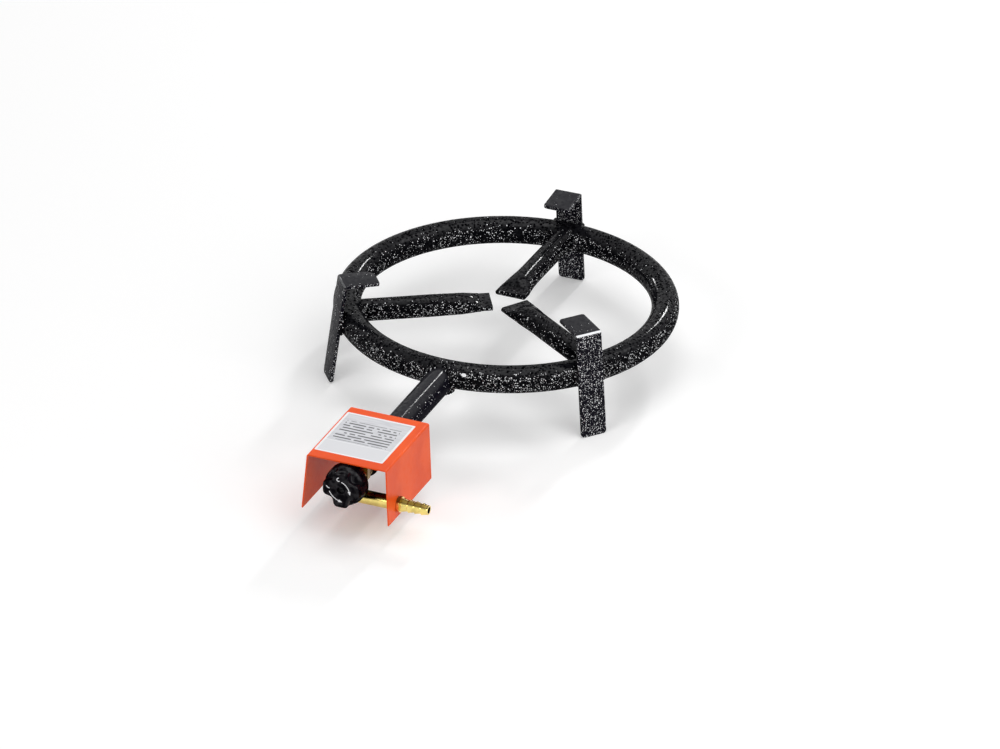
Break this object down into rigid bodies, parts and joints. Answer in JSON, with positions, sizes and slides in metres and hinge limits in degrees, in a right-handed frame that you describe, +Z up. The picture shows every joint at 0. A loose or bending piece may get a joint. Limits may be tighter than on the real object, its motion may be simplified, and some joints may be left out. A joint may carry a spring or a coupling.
{
  "type": "gas ring burner stand",
  "caption": "Low gas burner stand: a pierced tube ring with inward arms, bent strip legs that carry a pan, and a needle valve under a folded sheet cover.",
  "frame": {"origin": "on the floor, under the burner ring's vertical axis", "axes": "+Z up along the ring's axis; -Y along the supply tube towards the knob; +X towards the hose tail"},
  "size_m": [0.25, 0.432, 0.0775],
  "materials": {
    "speckled_enamel": "gloss black vitreous enamel with fine white speckles",
    "orange_paint": "gloss orange powder coat on folded sheet",
    "brass": "bright turned brass",
    "zinc_steel": "bright zinc plate",
    "black_steel": "black oxide",
    "print_white": "white marks printed on the knob's face",
    "knob_plastic": "gloss black moulded phenolic",
    "seal_rubber": "matt black nitrile",
    "label_foil": "satin silver-white sticker"
  },
  "bodies": {
    "stand": {"burner_ring": "speckled_enamel", "supply_tube": "speckled_enamel", "supply_weld": "speckled_enamel", "valve_bracket": "speckled_enamel", "bracket_weld": "speckled_enamel", "valve_cover": "orange_paint", "cover_studs": "zinc_steel", "cover_nuts": "zinc_steel", "rating_label": "label_foil", "valve_body": "brass", "locknut": "brass", "injector": "brass", "bonnet": "brass", "inlet_pipe": "brass", "pipe_plug": "brass", "inlet_braze": "brass", "hose_tail": "brass", "burner_arm_rear": "speckled_enamel", "arm_weld_rear": "speckled_enamel", "pan_leg_rear": "speckled_enamel", "leg_weld_rear": "speckled_enamel", "burner_arm_left": "speckled_enamel", "arm_weld_left": "speckled_enamel", "pan_leg_left": "speckled_enamel", "leg_weld_left": "speckled_enamel", "burner_arm_right": "speckled_enamel", "arm_weld_right": "speckled_enamel", "pan_leg_right": "speckled_enamel", "leg_weld_right": "speckled_enamel"},
    "seal": {"stem_seal": "seal_rubber"},
    "valve_stem": {"needle_stem": "brass", "control_knob": "knob_plastic", "knob_screw": "black_steel"}
  },
  "joints": [
    {"name": "stem_travel", "type": "slide", "parent": "stand", "child": "seal", "axis": [0, -1, 0], "range_m": [0, 0.0016]},
    {"name": "knob_turn", "type": "hinge", "parent": "seal", "child": "valve_stem", "pos_m": [0, -0.283, 0.0405], "axis": [0, -1, 0], "range_deg": [0, 576]}
  ],
  "couplings": [
    {"joint": "knob_turn", "follows": "stem_travel", "rad_per_m": 6283.2}
  ]
}
